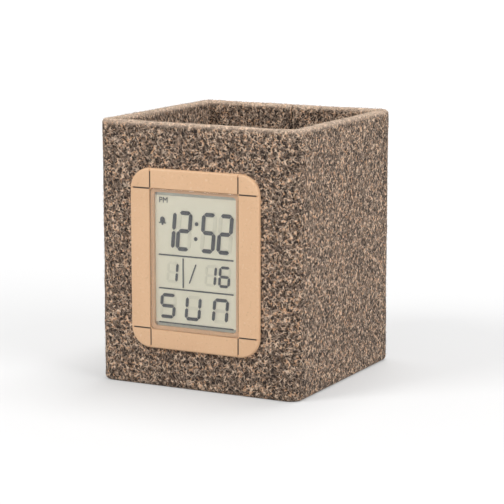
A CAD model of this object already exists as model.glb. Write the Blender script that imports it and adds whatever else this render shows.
# A felt pen holder with a clock let into its front wall: the finish of every visible piece.
# Metres, +Z up. The front faces -Y and +X is on its right.

import math
import random

import bmesh
import bpy
from mathutils import Matrix, Vector


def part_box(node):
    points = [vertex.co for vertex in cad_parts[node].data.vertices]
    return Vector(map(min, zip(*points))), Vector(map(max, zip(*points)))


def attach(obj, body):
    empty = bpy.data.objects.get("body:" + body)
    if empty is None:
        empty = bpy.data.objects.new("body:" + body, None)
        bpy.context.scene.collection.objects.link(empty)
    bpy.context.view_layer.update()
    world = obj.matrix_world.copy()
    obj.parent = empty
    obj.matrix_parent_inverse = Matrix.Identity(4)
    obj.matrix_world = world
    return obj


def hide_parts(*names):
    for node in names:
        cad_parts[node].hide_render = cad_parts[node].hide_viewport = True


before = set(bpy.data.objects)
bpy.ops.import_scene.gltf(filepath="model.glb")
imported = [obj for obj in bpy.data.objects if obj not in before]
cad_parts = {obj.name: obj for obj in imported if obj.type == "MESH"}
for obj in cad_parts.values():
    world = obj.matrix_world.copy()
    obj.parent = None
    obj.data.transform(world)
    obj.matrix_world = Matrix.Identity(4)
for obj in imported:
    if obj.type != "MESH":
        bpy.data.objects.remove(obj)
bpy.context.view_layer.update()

MM = 0.001
X, Y, Z = 0, 1, 2

# Places taken from the frame
felt_low, felt_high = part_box("felt_wrap")
floor_low, floor_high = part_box("floor_felt")
panel_low, panel_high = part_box("bezel")
window_low, window_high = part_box("lens")
film_low, film_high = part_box("lcd_front_polariser")
case_low, case_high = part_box("rear_case")
door_low, door_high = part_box("battery_door")

window_middle = (window_low + window_high) / 2
felt_middle = (felt_low + felt_high) / 2
felt_front = felt_low.y
felt_back = felt_high.y

# How far a cutting shape reaches past what it cuts
overrun = MM

# Sizes of the felt
felt_wall = 4.5 * MM
fold_radius = 5.3 * MM
rim_round = 1.5 * MM
seam_depth = 1.3 * MM
seam_width = 0.35 * MM
flat_foot = 4 * MM
pad_top = 0.1 * MM
FELT_ROWS = 40
FELT_COLUMNS = 14
felt_column = 2.55 * MM
PAD_CUTS = 30

# Unevenness of the felt: how wide and how deep its waves are
felt_sag = (28 * MM, 0.7 * MM)
felt_lumps = (4.5 * MM, 0.35 * MM)
pad_sag = (20 * MM, 0.5 * MM)

# Loose fibres: least and most of their length in mm, and of the rest as shares
FIBRE_COUNT = 23000
FIBRE_STEPS = 3
FIBRE_SIDES = 3
FIBRE_LENGTH = (0.5, 1.5)
FIBRE_RISE = (0.12, 0.5)
FIBRE_CURL = (-0.9, 0.9)
FIBRE_GIRTH = (0.5, 1.0)
FIBRE_ARCH = 0.75
FIBRE_TAPER = 0.5
fibre_width = 0.055 * MM

# Where they stand: how thickly on each part of the felt, and what stays bare
FIBRE_SHARES = {"outside": 1, "fold": 2.5, "inside": 0.5, "rim": 6}
rim_reach = 2 * MM
outer_skin = 0.8 * MM
fold_inset = 0.3 * MM
bare_border = 1 * MM
bare_foot = 0.6 * MM
table_gap = 0.05 * MM

# Sizes of the panel
panel_radius = 8 * MM
panel_edge = 0.8 * MM
panel_cover = 3 * MM
hub_wall = 1.5 * MM
window_radius = 1.4 * MM
window_gap = 0.25 * MM
window_ledge = 1.2 * MM
window_edge = 0.15 * MM
line_width = 0.6 * MM
line_depth = 0.35 * MM
ink_width = 0.5 * MM
ink_depth = 0.12 * MM
ink_gap = 0.05 * MM
ink_end = 1.1 * MM

# Sizes of the display
film_edge = 0.04 * MM
mark_lift = 0.3 * MM
mark_depth = 0.05 * MM
idle_lift = 1.5 * mark_depth
segment_gap = 0.3 * MM
point_share = 0.46
rule_thickness = 0.5 * MM
noon_height = 2.1 * MM
bell_height = 3.2 * MM
cap_share = 0.7
slant = math.radians(5)

# Sizes of the signs on the back of the clock
sign_height = 0.06 * MM
sign_size = 1.1 * MM
arrow_depth = 0.35 * MM
arrow_size = 2.6 * MM
arrow_rise = 11 * MM
grip_rise = 0.35 * MM

# The studio: its floor and light, its lamps as (place, size, watts), and the camera
floor_size = 6
floor_white = 0.52
floor_glow_near = 0.23
floor_glow_far = 0.68
floor_glow_reach = (0.12, 1.4)
room_light = 0.5
seen_white = 1.0
LAMPS = {
    "key": ((-0.5, -0.75, 0.85), 0.45, 6.3),
    "fill": ((0.95, -0.25, 0.5), 0.6, 5.2),
    "top": ((0.05, 0.25, 1.0), 0.5, 6.3),
}
lamp_aim = Vector((0, 0, 0.05))
camera_turn = math.radians(27.5)
camera_rise = math.radians(10)
camera_aim = Vector((0.002, 0, 0.0465))
camera_distance = 0.77
lens_length = 142
sensor_width = 36


# Hand tools

def clear_selection():
    bpy.ops.object.select_all(action="DESELECT")


def choose(piece):
    clear_selection()
    piece.select_set(True)
    bpy.context.view_layer.objects.active = piece


def set_up(name, data):
    """A new object in the scene, for a mesh, a lamp or a camera."""
    made = bpy.data.objects.new(name, data)
    bpy.context.scene.collection.objects.link(made)
    return made


def settle(piece):
    """Puts the piece's place into its mesh and leaves its object at the origin."""
    choose(piece)
    bpy.ops.object.transform_apply(location=True, rotation=True, scale=True)


def block(name, low, high):
    clear_selection()
    bpy.ops.mesh.primitive_cube_add(size=1, location=(low + high) / 2)
    piece = bpy.context.object
    piece.name = name
    piece.scale = high - low
    settle(piece)
    return piece


def pick(piece, kind, test):
    """In edit mode, selects only the vertices, edges or faces that pass the test."""
    bpy.ops.mesh.select_mode(type=kind)
    bpy.ops.mesh.select_all(action="DESELECT")
    shape = bmesh.from_edit_mesh(piece.data)
    items = {"VERT": shape.verts, "EDGE": shape.edges, "FACE": shape.faces}[kind]
    for item in items:
        item.select_set(test(item))
    shape.select_flush_mode()
    bmesh.update_edit_mesh(piece.data)


def runs_along(edge, axis, straight=0.999):
    step = edge.verts[1].co - edge.verts[0].co
    return abs(step[axis]) > straight * step.length


def edge_at(edge, axis, level, reach=1e-5):
    return all(abs(v.co[axis] - level) < reach for v in edge.verts)


def lies_across(face, axis, square=0.9):
    return abs(face.normal[axis]) > square


def divide(place, normal):
    """In edit mode, divides every face that a plane passes through."""
    bpy.ops.mesh.select_all(action="SELECT")
    bpy.ops.mesh.bisect(plane_co=place, plane_no=normal)


def round_edges(piece, test, radius, segments):
    """Rounds over the edges that pass the test."""
    choose(piece)
    bpy.ops.object.mode_set(mode="EDIT")
    pick(piece, "EDGE", test)
    bpy.ops.mesh.bevel(offset=radius, segments=segments, affect="EDGES", clamp_overlap=True)
    bpy.ops.object.mode_set(mode="OBJECT")


def rounded_block(name, low, high, axis, radius, segments=8):
    """A block whose four edges along one axis are rounded."""
    piece = block(name, low, high)
    round_edges(piece, lambda e: runs_along(e, axis), radius, segments)
    return piece


def opening(low, high, margin, front, back, radius):
    """A cutter with round corners: a box drawn in by a margin, from one depth to another."""
    low, high = low + Vector((margin, 0, margin)), high - Vector((margin, 0, margin))
    low.y, high.y = front, back
    return rounded_block("opening", low, high, Y, radius)


def carve(piece, tool, way="DIFFERENCE"):
    """Cuts the tool's shape out of the piece, or welds it on, and throws the tool away."""
    choose(piece)
    cut = piece.modifiers.new("cut", "BOOLEAN")
    cut.operation = way
    cut.solver = "EXACT"
    cut.object = tool
    bpy.ops.object.modifier_apply(modifier=cut.name)
    bpy.data.objects.remove(tool)


def join_pieces(name, parts):
    clear_selection()
    for part in parts:
        part.select_set(True)
    bpy.context.view_layer.objects.active = parts[0]
    bpy.ops.object.join()
    joined = bpy.context.object
    joined.name = name
    return joined


def smooth(piece, angle=35):
    choose(piece)
    bpy.ops.object.shade_smooth_by_angle(angle=math.radians(angle))


def even_shading(piece):
    """Lets the large flat faces set the shading, so that rounds beside them don't dull them."""
    choose(piece)
    shading = piece.modifiers.new("even shading", "WEIGHTED_NORMAL")
    shading.keep_sharp = True
    bpy.ops.object.modifier_apply(modifier=shading.name)


def soften(piece, width):
    """A small round on every sharp edge."""
    choose(piece)
    edge = piece.modifiers.new("soft edge", "BEVEL")
    edge.width = width
    edge.segments = 2
    edge.limit_method = "ANGLE"
    edge.angle_limit = math.radians(30)
    bpy.ops.object.modifier_apply(modifier=edge.name)


def coat(piece, material):
    piece.data.materials.clear()
    piece.data.materials.append(material)


def dress(piece, body, material):
    coat(piece, material)
    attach(piece, body)


def cad_copy(name, node, weld=1e-6, flat=0.5):
    """A welded copy of a CAD node, so that its rounded faces shade smoothly."""
    piece = set_up(name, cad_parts[node].data.copy())
    choose(piece)
    bpy.ops.object.mode_set(mode="EDIT")
    bpy.ops.mesh.select_all(action="SELECT")
    bpy.ops.mesh.remove_doubles(threshold=weld)
    bpy.ops.mesh.dissolve_limited(angle_limit=math.radians(flat))
    bpy.ops.object.mode_set(mode="OBJECT")
    return piece


# Building blocks of materials

class Sheet:
    """A node tree being drawn up: each call adds a node and wires its inputs."""

    def __init__(self, tree):
        self.tree = tree
        self.tree.nodes.clear()

    def add(self, kind, settings=None, **inputs):
        node = self.tree.nodes.new(kind)
        for key, value in (settings or {}).items():
            setattr(node, key, value)
        for key, value in inputs.items():
            self.wire(node, key.replace("_", " "), value)
        return node

    def wire(self, node, key, value):
        """Sets or links one input, named by its label or as i0, i1 and so on by its number."""
        numbered = key[0] == "i" and key[1:].isdigit()
        socket = node.inputs[int(key[1:]) if numbered else key]
        if isinstance(value, bpy.types.NodeSocket):
            self.tree.links.new(value, socket)
        else:
            socket.default_value = value

    def math(self, operation, first, second=0.0, clamp=False):
        settings = {"operation": operation, "use_clamp": clamp}
        return self.add("ShaderNodeMath", settings, i0=first, i1=second).outputs[0]

    def plus(self, first, second):
        return self.math("ADD", first, second)

    def times(self, first, second):
        return self.math("MULTIPLY", first, second)

    def vector_math(self, operation, first, second):
        settings = {"operation": operation}
        return self.add("ShaderNodeVectorMath", settings, i0=first, i1=second).outputs[0]

    def mix(self, amount, first, second):
        """Mixes two colours, which are the node's inputs 6 and 7 and its output 2."""
        settings = {"data_type": "RGBA", "blend_type": "MIX"}
        return self.add("ShaderNodeMix", settings, i0=amount, i6=first, i7=second).outputs[2]

    def lay(self, colour, mask, cover, over):
        """The colour with another laid over it where the mask is, as thick as cover says."""
        return self.mix(self.times(mask, cover), colour, over)

    def noise(self, vector, scale, detail=2.0, rough=0.5):
        inputs = {"Vector": vector, "Scale": scale, "Detail": detail, "Roughness": rough}
        return self.add("ShaderNodeTexNoise", **inputs).outputs["Fac"]

    def band(self, value, low, high):
        """0 below low, 1 above high, straight between."""
        node = self.add("ShaderNodeMapRange", Value=value, From_Min=low, From_Max=high)
        return node.outputs["Result"]


def effect_group(name, inputs, outputs):
    """An empty node group with named sockets, and the nodes that stand at its two ends."""
    tree = bpy.data.node_groups.new(name, "ShaderNodeTree")
    for socket, kind, value in inputs:
        made = tree.interface.new_socket(socket, in_out="INPUT", socket_type=kind)
        if value is not None:
            made.default_value = value
    for socket, kind in outputs:
        tree.interface.new_socket(socket, in_out="OUTPUT", socket_type=kind)
    sheet = Sheet(tree)
    start = sheet.add("NodeGroupInput")
    end = sheet.add("NodeGroupOutput")
    return tree, sheet, start.outputs, end.inputs


def make_strand_group():
    """Short curly fibres lying in every direction: the lines where a noise passes its middle."""
    tree, sheet, given, result = effect_group(
        "lying fibres",
        [("Vector", "NodeSocketVector", None), ("Spacing", "NodeSocketFloat", 1.0),
         ("Width", "NodeSocketFloat", 0.05), ("Share", "NodeSocketFloat", 0.5),
         ("Seed", "NodeSocketFloat", 0.0)],
        [("Mask", "NodeSocketFloat")],
    )
    noise_middle = 0.5
    none_kept, all_kept = 0.68, 0.32
    break_sharpness = 18.0
    shifted = sheet.vector_math("ADD", given["Vector"], given["Seed"])
    scaled = sheet.vector_math("DIVIDE", shifted, given["Spacing"])
    wander = sheet.add("ShaderNodeTexNoise", Vector=scaled, Scale=0.7, Detail=1.0)
    warped = sheet.vector_math("ADD", scaled, wander.outputs["Color"])
    field = sheet.noise(warped, scale=1.0, detail=1.0, rough=0.4)
    distance = sheet.math("ABSOLUTE", sheet.math("SUBTRACT", field, noise_middle))
    line = sheet.math("SUBTRACT", 1.0, sheet.math("DIVIDE", distance, given["Width"]), clamp=True)
    breaks = sheet.noise(sheet.vector_math("ADD", warped, (7.3, 2.1, 4.9)), scale=1.7, detail=0.0)
    drop = sheet.times(given["Share"], none_kept - all_kept)
    level = sheet.math("SUBTRACT", none_kept, drop)
    kept = sheet.math("MULTIPLY", sheet.math("SUBTRACT", breaks, level), break_sharpness, clamp=True)
    tree.links.new(sheet.times(line, kept), result["Mask"])
    return tree


def make_grain_group():
    """The fine spark-eroded grain of a moulded surface, with slow patches from handling."""
    tree, sheet, given, result = effect_group(
        "moulded grain",
        [("Vector", "NodeSocketVector", None), ("Size", "NodeSocketFloat", 0.2),
         ("Patch", "NodeSocketFloat", 12.0)],
        [("Height", "NodeSocketFloat"), ("Patches", "NodeSocketFloat")],
    )
    fine = sheet.vector_math("DIVIDE", given["Vector"], given["Size"])
    broad = sheet.vector_math("DIVIDE", given["Vector"], given["Patch"])
    tree.links.new(sheet.noise(fine, scale=1.0, detail=2.0, rough=0.6), result["Height"])
    tree.links.new(sheet.noise(broad, scale=1.0, detail=4.0, rough=0.55), result["Patches"])
    return tree


strand_group = make_strand_group()
grain_group = make_grain_group()


class Finish(Sheet):
    """A material being mixed, with millimetre coordinates on the piece."""

    def __init__(self, name):
        self.material = bpy.data.materials.new(name)
        self.material.use_nodes = True
        super().__init__(self.material.node_tree)
        place = self.add("ShaderNodeTexCoord").outputs["Object"]
        scale = self.add("ShaderNodeVectorMath", {"operation": "SCALE"}, i0=place, Scale=1 / MM)
        self.mm = scale.outputs[0]

    def moved(self, *shift):
        """The same coordinates elsewhere, so that two noises don't match."""
        return self.vector_math("ADD", self.mm, shift)

    def height(self):
        return self.add("ShaderNodeSeparateXYZ", Vector=self.mm).outputs["Z"]

    def strands(self, spacing, width, share, seed):
        group = {"node_tree": strand_group}
        sizes = {"Spacing": spacing, "Width": width, "Share": share, "Seed": seed}
        return self.add("ShaderNodeGroup", group, Vector=self.mm, **sizes).outputs["Mask"]

    def grain(self, size, patch):
        group = {"node_tree": grain_group}
        node = self.add("ShaderNodeGroup", group, Vector=self.mm, Size=size, Patch=patch)
        return node.outputs["Height"], node.outputs["Patches"]

    def bump(self, height, depth):
        node = self.add("ShaderNodeBump", Height=height, Distance=depth, Strength=1.0)
        return node.outputs["Normal"]

    def patchy(self, patches, colour, other, low=0.3, high=0.7):
        """One colour going over to the other from patch to patch."""
        return self.mix(self.band(patches, low, high), colour, other)

    def shade(self, **inputs):
        """The surface's shader; constants are set on its own sockets."""
        shader = self.add("ShaderNodeBsdfPrincipled", **inputs)
        self.add("ShaderNodeOutputMaterial", Surface=shader.outputs["BSDF"])
        return self.material


def tinted(colour, strength):
    """The colour made lighter, or darker where the strength is under 1."""
    return tuple(min(1, strength * part) for part in colour[:3]) + (1,)


# Colours: how much red, green and blue light each gives back

BLACK_WOOL = (0.011, 0.009, 0.008, 1)
DARK_WOOL = (0.02, 0.017, 0.015, 1)
BROWN_WOOL = (0.027, 0.021, 0.019, 1)
SOFT_BROWN_WOOL = (0.047, 0.036, 0.031, 1)
TAUPE_WOOL = (0.195, 0.137, 0.104, 1)
GREY_WOOL = (0.44, 0.325, 0.25, 1)
PALE_WOOL = (0.65, 0.505, 0.39, 1)
OAT_WOOL = (0.95, 0.71, 0.52, 1)
STRAW_WOOL = (0.78, 0.46, 0.27, 1)
CUT_WOOL = (0.72, 0.55, 0.42, 1)
WOOL_SHEEN = (0.87, 0.76, 0.67, 1)
LOOSE_DARK = (0.055, 0.05, 0.046, 1)
LOOSE_PALE = (0.5, 0.42, 0.33, 1)
LOOSE_STRAW = (0.64, 0.48, 0.31, 1)
SAND = (0.74, 0.465, 0.275, 1)
PALE_SAND = (0.78, 0.5, 0.3, 1)
DARK_FLECK = (0.48, 0.3, 0.16, 1)
LIGHT_FLECK = (0.9, 0.7, 0.5, 1)
LINE_INK = (0.055, 0.04, 0.03, 1)
SIGN_INK = (0.5, 0.49, 0.47, 1)
CLEAR = (1, 1, 1, 1)
WHITE = (1, 1, 1, 1)
GROUND = (0.8, 0.765, 0.595, 1)
PALE_GROUND = (0.85, 0.81, 0.635, 1)
GROUND_GLINT = (0.9, 0.86, 0.68, 1)
MARK_BLACK = (0.028, 0.03, 0.032, 1)
MARK_IDLE = (0.69, 0.66, 0.51, 1)
CASE_BLACK = (0.045, 0.045, 0.047, 1)
WORN_CASE = (0.06, 0.06, 0.062, 1)
KEY_GREY = (0.1, 0.1, 0.102, 1)
WORN_KEY = (0.125, 0.125, 0.127, 1)
NICKEL = (0.62, 0.61, 0.58, 1)
BRASS = (0.78, 0.57, 0.27, 1)
PULP = (0.27, 0.25, 0.22, 1)
PALE_PULP = (0.36, 0.335, 0.3, 1)
PULP_FIBRE = (0.5, 0.47, 0.42, 1)
MASK_GREEN = (0.015, 0.09, 0.03, 1)
BRIGHT_GREEN = (0.025, 0.13, 0.045, 1)
RESIN = (0.015, 0.015, 0.016, 1)
SILVERED = (0.6, 0.59, 0.56, 1)
STRIPE_GREY = (0.04, 0.04, 0.042, 1)
GLASS_GREEN = (0.42, 0.43, 0.36, 1)
FILM_GREEN = (0.34, 0.35, 0.28, 1)


# Finishes: the sizes that they give are in mm

def felt_finish():
    """Pressed felt of brown-black, grey and oat-coloured fibres in tufts, paler where it was cut."""
    f = Finish("charcoal felt")
    cloud = f.noise(f.mm, scale=0.3, detail=3.0)
    clump = f.noise(f.mm, scale=0.7, detail=3.0, rough=0.6)
    speck = f.noise(f.mm, scale=2.2, rough=0.6)
    tuft = f.band(f.noise(f.moved(3.0, 8.0, 5.0), scale=0.55), low=0.44, high=0.56)
    in_tuft = f.plus(f.times(tuft, 0.8), 0.2)
    out_of_tuft = f.math("SUBTRACT", 1.0, f.times(tuft, 0.7))
    grey = f.strands(spacing=1.6, width=0.058, share=0.56, seed=0.0)
    oat = f.times(f.strands(spacing=1.8, width=0.08, share=0.78, seed=31.0), in_tuft)
    straw = f.times(f.strands(spacing=1.6, width=0.075, share=0.66, seed=57.0), in_tuft)
    black = f.times(f.strands(spacing=1.5, width=0.09, share=0.7, seed=83.0), out_of_tuft)
    long_pale = f.strands(spacing=3.4, width=0.016, share=0.85, seed=120.0)
    long_dark = f.strands(spacing=2.9, width=0.016, share=0.9, seed=151.0)
    colour = f.mix(f.band(cloud, low=0.35, high=0.65), BROWN_WOOL, SOFT_BROWN_WOOL)
    colour = f.mix(f.band(clump, low=0.47, high=0.62), colour, TAUPE_WOOL)
    layers = (
        (grey, 0.8, GREY_WOOL), (black, 0.9, BLACK_WOOL), (oat, 0.9, OAT_WOOL),
        (straw, 0.85, STRAW_WOOL), (long_dark, 0.75, DARK_WOOL), (long_pale, 0.8, PALE_WOOL),
    )
    for fibres, cover, wool in layers:
        colour = f.lay(colour, fibres, cover, wool)
    top = felt_high.z / MM
    rim = f.band(f.height(), low=top - 2.0, high=top - 0.7)
    ragged = f.times(rim, f.band(speck, low=0.25, high=0.6))
    colour = f.lay(colour, ragged, 0.6, CUT_WOOL)
    height = f.plus(f.times(clump, 0.8), f.times(grey, 0.2))
    height = f.plus(height, f.times(f.plus(oat, straw), 0.2))
    height = f.plus(height, f.times(speck, 0.3))
    return f.shade(
        Base_Color=colour,
        Roughness=0.95,
        Sheen_Weight=0.12,
        Sheen_Roughness=0.5,
        Sheen_Tint=WOOL_SHEEN,
        Specular_IOR_Level=0.1,
        Normal=f.bump(height, 0.4 * MM),
    )


def loose_fibre_finish():
    """The fibres that stand off the felt: each takes its shade from where it grows."""
    f = Finish("loose fibres")
    tone = f.noise(f.mm, scale=1.4, detail=1.0)
    warmth = f.noise(f.moved(9.0, 4.0, 2.0), scale=1.1, detail=1.0)
    colour = f.mix(f.band(tone, low=0.42, high=0.6), LOOSE_DARK, LOOSE_PALE)
    colour = f.mix(f.band(warmth, low=0.54, high=0.6), colour, LOOSE_STRAW)
    return f.shade(Base_Color=colour, Roughness=0.9, Specular_IOR_Level=0.2)


def straw_plastic_finish():
    """Pale sand-coloured plastic with a little chopped straw in it."""
    f = Finish("straw plastic")
    height, patches = f.grain(size=0.16, patch=16.0)
    dark = f.strands(spacing=1.5, width=0.025, share=0.34, seed=5.0)
    light = f.strands(spacing=1.8, width=0.025, share=0.36, seed=19.0)
    colour = f.patchy(patches, SAND, PALE_SAND)
    colour = f.lay(colour, dark, 0.45, DARK_FLECK)
    colour = f.lay(colour, light, 0.4, LIGHT_FLECK)
    rough = f.plus(f.times(f.band(patches, low=-0.6, high=1.8), 0.12), 0.42)
    normal = f.bump(height, 0.012 * MM)
    return f.shade(Base_Color=colour, Roughness=rough, Specular_IOR_Level=0.4, Normal=normal)


def ink_finish(name, ink):
    """Flat printed ink, a little uneven."""
    f = Finish(name)
    height, patches = f.grain(size=0.08, patch=3.0)
    colour = f.patchy(patches, ink, tinted(ink, 1.35))
    return f.shade(Base_Color=colour, Roughness=0.6, Normal=f.bump(height, 0.006 * MM))


def window_finish():
    """Clear moulded acrylic, a touch hazy where it has been wiped."""
    f = Finish("clear window")
    wiped = f.grain(size=0.5, patch=20.0)[1]
    haze = f.times(f.band(wiped, low=0.2, high=0.9), 0.04)
    return f.shade(Base_Color=CLEAR, Roughness=haze, IOR=1.49, Transmission_Weight=1.0)


def display_face_finish():
    """The grey-green ground of a reflective display, with its fine bright grain."""
    f = Finish("display ground")
    height, patches = f.grain(size=0.12, patch=18.0)
    colour = f.patchy(patches, GROUND, PALE_GROUND, low=0.25, high=0.75)
    colour = f.mix(f.band(height, low=0.35, high=0.75), colour, GROUND_GLINT)
    normal = f.bump(height, 0.01 * MM)
    return f.shade(Base_Color=colour, Roughness=0.42, Specular_IOR_Level=0.3, Normal=normal)


def display_mark_finish(name, mark):
    """Liquid crystal that is switched on or off, smooth under its film."""
    f = Finish(name)
    height, patches = f.grain(size=0.1, patch=6.0)
    colour = f.patchy(patches, mark, tinted(mark, 1.2))
    return f.shade(Base_Color=colour, Roughness=f.plus(0.4, f.times(height, 0.1)))


def case_plastic_finish():
    """Black plastic from a spark-eroded mould."""
    f = Finish("spark textured plastic")
    height, patches = f.grain(size=0.18, patch=10.0)
    colour = f.patchy(patches, CASE_BLACK, WORN_CASE)
    rough = f.plus(0.4, f.times(patches, 0.16))
    return f.shade(Base_Color=colour, Roughness=rough, Normal=f.bump(height, 0.03 * MM))


def rubber_finish():
    """The dark grey rubber of the keys."""
    f = Finish("button rubber")
    height, patches = f.grain(size=0.1, patch=5.0)
    colour = f.patchy(patches, KEY_GREY, WORN_KEY)
    return f.shade(Base_Color=colour, Roughness=0.75, Normal=f.bump(height, 0.008 * MM))


def metal_finish(name, metal, rough):
    """Plated or rolled metal with fine lines along X and slow stains."""
    f = Finish(name)
    rolled = f.vector_math("MULTIPLY", f.mm, (0.05, 6.0, 6.0))
    lines = f.noise(rolled, scale=1.0, detail=3.0, rough=0.6)
    stains = f.grain(size=0.3, patch=4.0)[1]
    colour = f.patchy(stains, metal, tinted(metal, 0.82), low=0.3, high=0.75)
    roughness = f.plus(rough, f.times(lines, 0.18))
    return f.shade(
        Base_Color=colour, Metallic=1.0, Roughness=roughness, Normal=f.bump(lines, 0.004 * MM),
    )


def board_finish():
    """Grey pressed board made of waste paper."""
    f = Finish("grey pressed board")
    fibres = f.strands(spacing=1.2, width=0.05, share=0.6, seed=3.0)
    pulp = f.noise(f.mm, scale=0.8, detail=4.0, rough=0.6)
    colour = f.patchy(pulp, PULP, PALE_PULP, low=0.35, high=0.65)
    colour = f.lay(colour, fibres, 0.4, PULP_FIBRE)
    return f.shade(Base_Color=colour, Roughness=0.9, Normal=f.bump(pulp, 0.05 * MM))


def laminate_finish():
    """Green solder mask over the weave of the board."""
    f = Finish("green laminate")
    bands = {"wave_type": "BANDS", "bands_direction": "DIAGONAL"}
    weave = f.add("ShaderNodeTexWave", bands, Vector=f.mm, Scale=1.1).outputs["Fac"]
    patches = f.grain(size=0.3, patch=8.0)[1]
    colour = f.patchy(patches, MASK_GREEN, BRIGHT_GREEN)
    return f.shade(Base_Color=colour, Roughness=0.3, Normal=f.bump(weave, 0.006 * MM))


def plain_finish(name, paint, rough):
    """A small moulded or cut piece, a little uneven."""
    f = Finish(name)
    height, patches = f.grain(size=0.2, patch=5.0)
    colour = f.patchy(patches, paint, tinted(paint, 1.2))
    return f.shade(Base_Color=colour, Roughness=rough, Normal=f.bump(height, 0.01 * MM))


felt = felt_finish()
loose_fibre = loose_fibre_finish()
straw_plastic = straw_plastic_finish()
line_ink = ink_finish("panel line ink", LINE_INK)
clear_window = window_finish()
display_ground = display_face_finish()
display_dark = display_mark_finish("display mark", MARK_BLACK)
display_idle = display_mark_finish("display idle mark", MARK_IDLE)
case_plastic = case_plastic_finish()
button_rubber = rubber_finish()
plated_steel = metal_finish("nickel plate", NICKEL, rough=0.2)
disc_brass = metal_finish("disc brass", BRASS, rough=0.22)
grey_board = board_finish()
green_laminate = laminate_finish()
black_resin = plain_finish("black resin", RESIN, rough=0.35)
piezo_silver = plain_finish("silvered ceramic", SILVERED, rough=0.45)
stripe_rubber = plain_finish("striped rubber", STRIPE_GREY, rough=0.7)
glass_plate = plain_finish("display glass", GLASS_GREEN, rough=0.12)
film = plain_finish("polarising film", FILM_GREEN, rough=0.3)
sign_print = ink_finish("sign print", SIGN_INK)


# Felt pieces

def wave(piece, name, group, size, depth):
    """Slow, shallow unevenness of the surface, where the group of vertices lets it be."""
    pattern = bpy.data.textures.new(name, "CLOUDS")
    pattern.noise_scale = size
    pattern.noise_depth = 2
    choose(piece)
    shift = piece.modifiers.new("unevenness", "DISPLACE")
    shift.texture = pattern
    shift.texture_coords = "LOCAL"
    shift.strength = depth
    shift.mid_level = 0.5
    shift.vertex_group = group
    bpy.ops.object.modifier_apply(modifier=shift.name)


def group_above(piece, name, level):
    group = piece.vertex_groups.new(name=name)
    for vertex in piece.data.vertices:
        group.add([vertex.index], 1.0 if vertex.co.z > level else 0.0, "REPLACE")
    return group.name


def felt_body():
    """One thick sheet folded round, with the clock's window and the seam at the back."""
    body = block("felt_body", felt_low, felt_high)
    round_edges(body, lambda e: runs_along(e, Z), fold_radius, segments=8)
    choose(body)
    bpy.ops.object.mode_set(mode="EDIT")
    pick(body, "FACE", lambda f: lies_across(f, Z))
    bpy.ops.mesh.delete(type="FACE")
    for row in range(1, FELT_ROWS):
        height = felt_low.z + (felt_high.z - felt_low.z) * row / FELT_ROWS
        divide((0, 0, height), (0, 0, 1))
    for axis, normal in ((X, (1, 0, 0)), (Y, (0, 1, 0))):
        for column in range(-FELT_COLUMNS, FELT_COLUMNS + 1):
            place = [felt_middle.x, felt_middle.y, 0]
            place[axis] += column * felt_column
            divide(place, normal)
    bpy.ops.object.mode_set(mode="OBJECT")
    wall = body.modifiers.new("wall", "SOLIDIFY")
    wall.thickness = felt_wall
    wall.offset = -1
    wall.use_even_offset = True
    bpy.ops.object.modifier_apply(modifier=wall.name)
    round_edges(body, on_rim, rim_round, segments=4)
    cut_clock_hole(body)
    cut_seam(body)
    group = group_above(body, "free of the table", flat_foot)
    wave(body, "felt sag", group, *felt_sag)
    wave(body, "felt lumps", group, *felt_lumps)
    smooth(body, angle=60)
    dress(body, "holder", felt)
    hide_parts("felt_wrap")
    return body


def depth_in_wall(point):
    """How far a point lies inside the felt's outer outline."""
    half = (felt_high - felt_low) / 2
    x = abs(point.x - felt_middle.x) - (half.x - fold_radius)
    y = abs(point.y - felt_middle.y) - (half.y - fold_radius)
    if x > 0 and y > 0:
        return fold_radius - math.hypot(x, y)
    return fold_radius - max(x, y)


def on_rim(edge, reach=0.2 * MM):
    """True for an edge of the upper or lower rim that follows the wall and doesn't cross it."""
    if not (edge_at(edge, Z, felt_low.z) or edge_at(edge, Z, felt_high.z)):
        return False
    depths = [depth_in_wall(v.co) for v in edge.verts]
    return abs(depths[0] - depths[1]) < reach


def cut_clock_hole(body):
    margin = panel_cover - window_gap
    front, back = felt_front - 2 * overrun, felt_front + felt_wall + 2 * overrun
    carve(body, opening(panel_low, panel_high, margin, front, back, panel_radius - margin))


def cut_seam(body):
    """A groove outside, inside and over the rim, where the sheet's two ends are glued."""
    inside = felt_back - felt_wall
    for near, far, bottom in (
        (felt_back - seam_depth, felt_back + overrun, felt_low.z - overrun),
        (inside - overrun, inside + seam_depth, felt_low.z - overrun),
        (inside - overrun, felt_back + overrun, felt_high.z - seam_depth),
    ):
        low = Vector((-seam_width / 2, near, bottom))
        high = Vector((seam_width / 2, far, felt_high.z + overrun))
        carve(body, block("seam", low, high))


def shows(point):
    """True where the felt is open to view and its fibres can stand up."""
    under_panel = (
        point.y < felt_front + felt_wall
        and panel_low.x - bare_border < point.x < panel_high.x + bare_border
        and panel_low.z - bare_border < point.z < panel_high.z + bare_border
    )
    on_table = point.z < bare_foot
    behind_case = (
        felt_front + felt_wall / 2 < point.y < case_high.y
        and case_low.x < point.x < case_high.x
        and case_low.z < point.z < case_high.z
    )
    return not (under_panel or on_table or behind_case)


def fibre_region(face):
    """The piece of fuzz that a face's fibres belong to."""
    if face.center.z > felt_high.z - rim_reach:
        return "rim"
    return "inside" if depth_in_wall(face.center) > felt_wall / 2 else "outside"


def on_fold(point):
    """True on the outer skin of a fold, where it has left the flat sides."""
    from_side = min(felt_high.x - abs(point.x), felt_back - point.y, point.y - felt_front)
    return depth_in_wall(point) < outer_skin and from_side > fold_inset


def fibre_weight(face):
    """Fibres stand thickest on the cut rim and along the folds."""
    region = fibre_region(face)
    if region == "outside" and on_fold(face.center):
        region = "fold"
    return face.area * FIBRE_SHARES[region]


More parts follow.
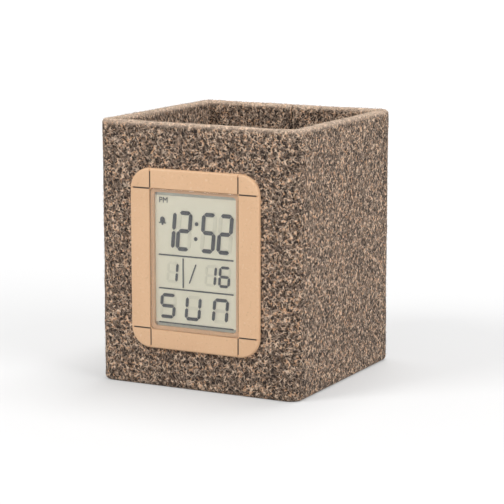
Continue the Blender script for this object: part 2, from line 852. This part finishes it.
def fibre(root, normal):
    """The points of one curled fibre, ring by ring, from the felt to its tip."""
    lie = normal.cross(Vector([random.uniform(-1, 1) for _ in range(3)])).normalized()
    side = normal.cross(lie)
    length = random.uniform(*FIBRE_LENGTH) * MM
    rise = random.uniform(*FIBRE_RISE)
    curl = random.uniform(*FIBRE_CURL)
    radius = random.uniform(*FIBRE_GIRTH) * fibre_width / 2
    points = []
    for step in range(FIBRE_STEPS + 1):
        t = step / FIBRE_STEPS
        lift = rise * math.sin(t * math.pi * FIBRE_ARCH)
        spot = root + length * (t * lie + curl * t * t / 2 * side + lift * normal)
        if step == FIBRE_STEPS:
            points.append(spot)
            break
        across = (side - curl * t * lie).normalized() * radius * (1 - FIBRE_TAPER * t)
        up = normal * across.length
        for corner in range(FIBRE_SIDES):
            angle = math.tau * corner / FIBRE_SIDES
            points.append(spot + math.cos(angle) * across + math.sin(angle) * up)
    return points


def fibre_skin():
    """The faces of one fibre: its root, its sides and its tip."""
    ring = range(FIBRE_SIDES)
    faces = [tuple(reversed(ring))]
    for step in range(FIBRE_STEPS):
        for corner in ring:
            a = step * FIBRE_SIDES + corner
            b = step * FIBRE_SIDES + (corner + 1) % FIBRE_SIDES
            if step < FIBRE_STEPS - 1:
                faces.append((a, b, b + FIBRE_SIDES, a + FIBRE_SIDES))
            else:
                faces.append((a, b, FIBRE_STEPS * FIBRE_SIDES))
    return faces


def felt_fibres(body):
    """Loose fibres all over the felt, each slim and closed, in one piece for each region."""
    faces = list(body.data.polygons)
    weights = [fibre_weight(face) for face in faces]
    skin = fibre_skin()
    regions = {"outside": ([], []), "inside": ([], []), "rim": ([], [])}
    for face in random.choices(faces, weights, k=FIBRE_COUNT):
        corners = [body.data.vertices[i].co for i in face.vertices]
        shares = [random.random() for _ in corners]
        root = sum((c * share for c, share in zip(corners, shares)), Vector()) / sum(shares)
        grown = fibre(root, face.normal)
        if not shows(root) or min(point.z for point in grown) < table_gap:
            continue
        points, surface = regions[fibre_region(face)]
        surface += [tuple(len(points) + i for i in part) for part in skin]
        points += grown
    for region, (points, surface) in regions.items():
        mesh = bpy.data.meshes.new("felt_fibres_" + region)
        mesh.from_pydata(points, [], surface)
        mesh.update()
        fuzz = set_up("felt_fibres_" + region, mesh)
        choose(fuzz)
        bpy.ops.object.shade_smooth()
        dress(fuzz, "holder", loose_fibre)


def felt_pad():
    """The pad on the floor inside, cut small enough to sag a little."""
    pad = block("felt_pad", floor_low, floor_high)
    choose(pad)
    bpy.ops.object.mode_set(mode="EDIT")
    bpy.ops.mesh.select_all(action="SELECT")
    bpy.ops.mesh.subdivide(number_cuts=PAD_CUTS)
    bpy.ops.object.mode_set(mode="OBJECT")
    wave(pad, "pad sag", group_above(pad, "top", floor_high.z - pad_top), *pad_sag)
    smooth(pad, angle=50)
    dress(pad, "holder", felt)
    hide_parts("floor_felt")


# The clock's front

def clock_panel():
    """The panel with its hub through the felt, its seat for the window and its crossing lines."""
    back = Vector((panel_high.x, felt_front, panel_high.z))
    panel = rounded_block("clock_panel", panel_low, back, Y, panel_radius, segments=16)
    round_edges(panel, lambda e: edge_at(e, Y, panel_low.y), panel_edge, segments=6)
    choose(panel)
    bpy.ops.object.mode_set(mode="EDIT")
    pick(panel, "FACE", lambda f: lies_across(f, Y) and f.normal.y > 0)
    bpy.ops.mesh.inset(thickness=panel_cover, depth=0)
    bpy.ops.mesh.extrude_region_move(
        TRANSFORM_OT_translate={"value": (0, panel_high.y - felt_front, 0)}
    )
    bpy.ops.object.mode_set(mode="OBJECT")
    front = panel_low.y - overrun
    rim = panel_cover + hub_wall
    hub_radius = panel_radius - rim
    carve(panel, opening(panel_low, panel_high, rim, film_low.y, panel_high.y + overrun, hub_radius))
    carve(panel, opening(window_low, window_high, -window_gap, front, window_high.y, window_radius))
    carve(panel, opening(window_low, window_high, window_ledge, front, panel_high.y, window_radius))
    for low, high in panel_line_boxes(line_width, front, panel_low.y + line_depth):
        carve(panel, block("line", low, high))
    smooth(panel, angle=40)
    dress(panel, "holder", straw_plastic)
    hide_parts("bezel")


def panel_line_boxes(width, front, back):
    """The four lines that run on from the window's edges and cross beyond its corners."""
    boxes = []
    for axis in (X, Z):
        for edge in (window_low[axis], window_high[axis]):
            low = Vector((panel_low.x, front, panel_low.z))
            high = Vector((panel_high.x, back, panel_high.z))
            low[axis], high[axis] = edge - width / 2, edge + width / 2
            boxes.append((low, high))
    return boxes


def panel_lines():
    """Ink in the panel's lines, in two strips beyond each corner of the window."""
    floor = panel_low.y + line_depth
    gap = window_gap + ink_gap
    strips = []
    for start, end in panel_line_boxes(ink_width, floor - ink_depth, floor):
        axis = X if end.x - start.x > end.z - start.z else Z
        start[axis] += ink_end
        end[axis] -= ink_end
        near, far = end.copy(), start.copy()
        near[axis] = window_low[axis] - gap
        far[axis] = window_high[axis] + gap
        strips += [block("strip", start, near), block("strip", far, end)]
    lines = join_pieces("panel_lines", strips)
    dress(lines, "holder", line_ink)


def clock_window():
    window = rounded_block("clock_window", window_low, window_high, Y, window_radius - window_gap)
    round_edges(window, lambda e: edge_at(e, Y, window_low.y), window_edge, segments=3)
    smooth(window, angle=40)
    even_shading(window)
    dress(window, "holder", clear_window)
    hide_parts("lens")


# The display

def display_ground_plate():
    plate = block("display_ground", film_low, film_high)
    soften(plate, film_edge)
    dress(plate, "holder", display_ground)
    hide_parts("lcd_front_polariser")


def bar(length, thickness):
    """A flat bar with pointed ends, lying along X and facing the front."""
    half = Vector((length / 2, mark_depth / 2, thickness / 2))
    piece = block("bar", -half, half)
    round_edges(piece, lambda e: runs_along(e, Y), point_share * thickness, segments=1)
    return piece


# Each segment: where its middle lies in the digit, and whether it stands upright
SEGMENTS = {
    "a": (0, 0.5, False), "g": (0, 0, False), "d": (0, -0.5, False),
    "f": (-0.5, 0.25, True), "b": (0.5, 0.25, True),
    "e": (-0.5, -0.25, True), "c": (0.5, -0.25, True),
}
GLYPHS = {
    "1": "bc", "2": "abged", "5": "afgcd", "6": "afgecd", "S": "afgcd", "U": "bcdef", "N": "abcef",
}

# Marks of the display, in mm from the middle of its window: (character, x, idle segments)
TIME = [("1", -11.6, ""), ("2", -4.9, "fc"), ("5", 5.3, "be"), ("2", 12.3, "fc")]
DATE = [("1", -10.0, "afged"), ("1", 6.2, "afged"), ("6", 12.0, "b")]
DAY = [("S", -12.0, "be"), ("U", -1.2, "ag"), ("N", 10.3, "gd")]
# Each row with the level of its middle, and the width, height and thickness of its digits
ROWS = [
    (TIME, 11.2, (4.7, 13.6, 1.5)),
    (DATE, -4.7, (3.9, 7.0, 1.0)),
    (DAY, -17.6, (5.4, 8.2, 1.25)),
]
RULES = [
    (-15.9, 1.7, 15.9, 1.7), (-15.9, -11.0, 15.9, -11.0), (-15.9, -24.0, 15.9, -24.0),
    (-5.4, -10.3, -5.4, 1.0), (-2.8, -8.4, 0.1, -0.9),
]
COLON = [(0.4, 14.2), (0.0, 8.6)]
COLON_RADIUS = 0.75
NOON_MARK = (-13.6, 22.2)
BELL_MARK = (-14.1, 14.6)

# The bell, for a height of 1: radius and rise of its rounds, half width, top and bottom of its blocks
BELL_CROWN = (0.32, 0.12)
BELL_CLAPPER = (0.12, -0.44)
BELL_FLANK = (0.31, 0.12, -0.24)
BELL_LIP = (0.48, -0.23, -0.34)


def window_spot(x, z):
    """A point on the display's marks, from mm counted from the window's middle."""
    return Vector((window_middle.x + x * MM, film_low.y - mark_lift, window_middle.z + z * MM))


def lay_out(piece, middle, turn):
    """Turns a flat mark in the plane of the display and moves it to its place."""
    piece.data.transform(Matrix.Translation(middle) @ Matrix.Rotation(turn, 4, "Y"))


class Display:
    """Collects every mark, the dark ones and the idle ones that only just show."""

    def __init__(self):
        self.dark = []
        self.idle = []
        self.patterns = {}

    def segment(self, length, thickness, middle, turn, foot):
        """A leaning copy of a bar, which is modelled once for each size."""
        size = (length, thickness)
        if size not in self.patterns:
            self.patterns[size] = bar(length, thickness)
        piece = set_up("segment", self.patterns[size].data.copy())
        lay_out(piece, middle, turn)
        for vertex in piece.data.vertices:
            vertex.co.x += (vertex.co.z - foot) * math.tan(slant)
        return piece

    def glyph(self, character, x, level, size, idle):
        width, height, thickness = (value * MM for value in size)
        middle = window_spot(x, level)
        for key, (across, up, upright) in SEGMENTS.items():
            shown = key in GLYPHS[character]
            if not shown and key not in idle:
                continue
            length = (height / 2 if upright else width) - segment_gap
            spot = middle + Vector((across * width, 0, up * height))
            turn = math.pi / 2 if upright else 0
            piece = self.segment(length, thickness, spot, turn, middle.z)
            (self.dark if shown else self.idle).append(piece)

    def rule(self, x0, z0, x1, z1):
        start, end = window_spot(x0, z0), window_spot(x1, z1)
        step = end - start
        piece = bar(step.length, rule_thickness)
        lay_out(piece, (start + end) / 2, -math.atan2(step.z, step.x))
        self.dark.append(piece)

    def finish(self):
        for pattern in self.patterns.values():
            bpy.data.objects.remove(pattern)
        dark = join_pieces("display_marks", self.dark)
        dress(dark, "holder", display_dark)
        idle = join_pieces("display_idle_marks", self.idle)
        idle.data.transform(Matrix.Translation((0, mark_lift - idle_lift, 0)))
        dress(idle, "holder", display_idle)


def dot(radius, middle, sides=20):
    clear_selection()
    bpy.ops.mesh.primitive_cylinder_add(
        vertices=sides, radius=radius, depth=mark_depth, location=middle, rotation=(math.pi / 2, 0, 0)
    )
    piece = bpy.context.object
    settle(piece)
    return piece


def bell(middle, size):
    """The alarm's bell: a dome, its flank and lip, and the clapper under it."""
    radius, rise = BELL_CROWN
    crown = dot(radius * size, middle + Vector((0, 0, rise * size)))
    for half_width, top, bottom in (BELL_FLANK, BELL_LIP):
        low = middle + Vector((-half_width * size, -mark_depth / 2, bottom * size))
        high = middle + Vector((half_width * size, mark_depth / 2, top * size))
        carve(crown, block("bell", low, high), "UNION")
    radius, rise = BELL_CLAPPER
    carve(crown, dot(radius * size, middle + Vector((0, 0, rise * size)), sides=12), "UNION")
    return crown


def letters(text, middle, height):
    """Small plain letters that face the front."""
    clear_selection()
    bpy.ops.object.text_add(location=(0, 0, 0))
    words = bpy.context.object
    words.data.body = text
    words.data.size = height / cap_share
    words.data.extrude = mark_depth / 2
    words.data.resolution_u = 4
    words.data.align_x = "CENTER"
    words.data.align_y = "CENTER"
    bpy.ops.object.convert(target="MESH")
    words = bpy.context.object
    words.rotation_euler = (math.pi / 2, 0, 0)
    words.location = middle
    settle(words)
    return words


def display_marks():
    """The time, the date and the day of the week, in three ruled rows."""
    display = Display()
    for digits, level, size in ROWS:
        for character, x, idle in digits:
            display.glyph(character, x, level, size, idle)
    for line in RULES:
        display.rule(*line)
    for spot in COLON:
        display.dark.append(dot(COLON_RADIUS * MM, window_spot(*spot)))
    display.dark.append(letters("PM", window_spot(*NOON_MARK), noon_height))
    display.dark.append(bell(window_spot(*BELL_MARK), bell_height))
    display.finish()


# The clock's back

# Sides of the sign on each key, and whether it points down
SIGNS = {"mode": (24, False), "set": (4, False), "up": (3, False), "down": (3, True)}


def sign_shape(sides, radius, height, middle, turned=False):
    """A flat sign round middle, a little wider at its foot: a triangle, a square or a round."""
    clear_selection()
    flare = height if turned else -height
    bpy.ops.mesh.primitive_cone_add(
        vertices=sides,
        radius1=radius - flare,
        radius2=radius + flare,
        depth=2 * height,
        location=middle,
        rotation=(-math.pi / 2 if turned else math.pi / 2, 0, 0),
    )
    piece = bpy.context.object
    settle(piece)
    return piece


def moulded_case():
    case = cad_copy("moulded_case", "rear_case")
    smooth(case)
    even_shading(case)
    dress(case, "holder", case_plastic)
    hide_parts("rear_case")


def sliding_door():
    """The battery door, with the sunk arrow that says which way it slides."""
    door = cad_copy("sliding_door", "battery_door")
    arrow_spot = Vector((0, door_high.y - grip_rise, door_low.z + arrow_rise))
    carve(door, sign_shape(3, arrow_size, arrow_depth, arrow_spot, turned=True))
    smooth(door)
    even_shading(door)
    dress(door, "door", case_plastic)
    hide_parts("battery_door")


def key_caps():
    """The four keys, each with its sign printed on top."""
    for key, (sides, turned) in SIGNS.items():
        node = "button_" + key
        low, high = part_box(node)
        top = Vector(((low.x + high.x) / 2, high.y, (low.z + high.z) / 2))
        cap = cad_copy("cap_" + key, node)
        smooth(cap, angle=40)
        even_shading(cap)
        dress(cap, "key_" + key, button_rubber)
        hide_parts(node)
        sign = sign_shape(sides, sign_size, sign_height, top, turned)
        sign.name = "sign_" + key
        dress(sign, "key_" + key, sign_print)


# Nodes that are shown as they are
NODE_FINISHES = {
    "base_board": grey_board,
    "lcd_glass": glass_plate,
    "lcd_reflector": film,
    "lcd_frame": case_plastic,
    "zebra_strip_upper": stripe_rubber,
    "zebra_strip_lower": stripe_rubber,
    "circuit_board": green_laminate,
    "controller_chip": black_resin,
    "clock_crystal": plated_steel,
    "thermistor": black_resin,
    "switch_mode": black_resin,
    "switch_set": black_resin,
    "switch_up": black_resin,
    "switch_down": black_resin,
    "buzzer_plate": disc_brass,
    "buzzer_ceramic": piezo_silver,
    "cell_left": plated_steel,
    "cell_right": plated_steel,
    "contact_negative": plated_steel,
    "contact_positive": plated_steel,
    "contact_bridge": plated_steel,
    "case_screw_1": plated_steel,
    "case_screw_2": plated_steel,
    "case_screw_3": plated_steel,
    "case_screw_4": plated_steel,
}


def finish_nodes():
    for node, material in NODE_FINISHES.items():
        coat(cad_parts[node], material)


# The studio

def by_ray(sheet, lighting, seen):
    """Lights the pieces with one shader and shows the eye another, also mirrored or through glass."""
    rays = sheet.add("ShaderNodeLightPath").outputs
    mirrored = sheet.math("MAXIMUM", rays["Is Glossy Ray"], rays["Is Transmission Ray"])
    plain = sheet.math("MAXIMUM", rays["Is Camera Ray"], mirrored)
    return sheet.add("ShaderNodeMixShader", i0=plain, i1=lighting, i2=seen).outputs[0]


def studio_floor():
    """A pale floor that fades to white away from the holder and keeps its shadow."""
    clear_selection()
    bpy.ops.mesh.primitive_plane_add(size=floor_size, location=(0, 0, 0))
    floor = bpy.context.object
    floor.name = "studio_floor"
    material = bpy.data.materials.new("white floor")
    material.use_nodes = True
    s = Sheet(material.node_tree)
    grey = (floor_white, floor_white, floor_white, 1)
    surface = s.add("ShaderNodeBsdfDiffuse", Color=grey).outputs[0]
    place = s.add("ShaderNodeTexCoord").outputs["Object"]
    away = s.add("ShaderNodeVectorMath", {"operation": "LENGTH"}, i0=place).outputs["Value"]
    glow = s.plus(s.times(s.band(away, *floor_glow_reach), floor_glow_far), floor_glow_near)
    lift = s.add("ShaderNodeEmission", Color=WHITE, Strength=glow).outputs[0]
    lifted = s.add("ShaderNodeAddShader", i0=surface, i1=lift).outputs[0]
    s.add("ShaderNodeOutputMaterial", Surface=by_ray(s, surface, lifted))
    floor.data.materials.append(material)


def studio_world():
    """Soft light from all round, and a white background."""
    world = bpy.data.worlds.new("studio")
    bpy.context.scene.world = world
    world.use_nodes = True
    s = Sheet(world.node_tree)
    soft = s.add("ShaderNodeBackground", Color=WHITE, Strength=room_light).outputs[0]
    white = s.add("ShaderNodeBackground", Color=WHITE, Strength=seen_white).outputs[0]
    s.add("ShaderNodeOutputWorld", Surface=by_ray(s, soft, white))


def facing(direction):
    return direction.to_track_quat("-Z", "Y").to_euler()


def studio_lamps():
    for name, (place, size, watts) in LAMPS.items():
        light = bpy.data.lights.new(name, "AREA")
        light.shape = "SQUARE"
        light.size = size
        light.energy = watts
        stand = set_up(name, light)
        stand.location = place
        stand.rotation_euler = facing(lamp_aim - Vector(place))


def camera():
    back = Vector((
        math.sin(camera_turn) * math.cos(camera_rise),
        -math.cos(camera_turn) * math.cos(camera_rise),
        math.sin(camera_rise),
    ))
    view = bpy.data.cameras.new("view")
    view.sensor_width = sensor_width
    view.lens = lens_length
    stand = set_up("view", view)
    stand.location = camera_aim + back * camera_distance
    stand.rotation_euler = facing(-back)
    bpy.context.scene.camera = stand


random.seed(5)
bpy.context.scene.view_settings.view_transform = "Standard"
camera()
studio_floor()
studio_world()
studio_lamps()
felt_fibres(felt_body())
felt_pad()
clock_panel()
panel_lines()
clock_window()
display_ground_plate()
display_marks()
moulded_case()
sliding_door()
key_caps()
finish_nodes()
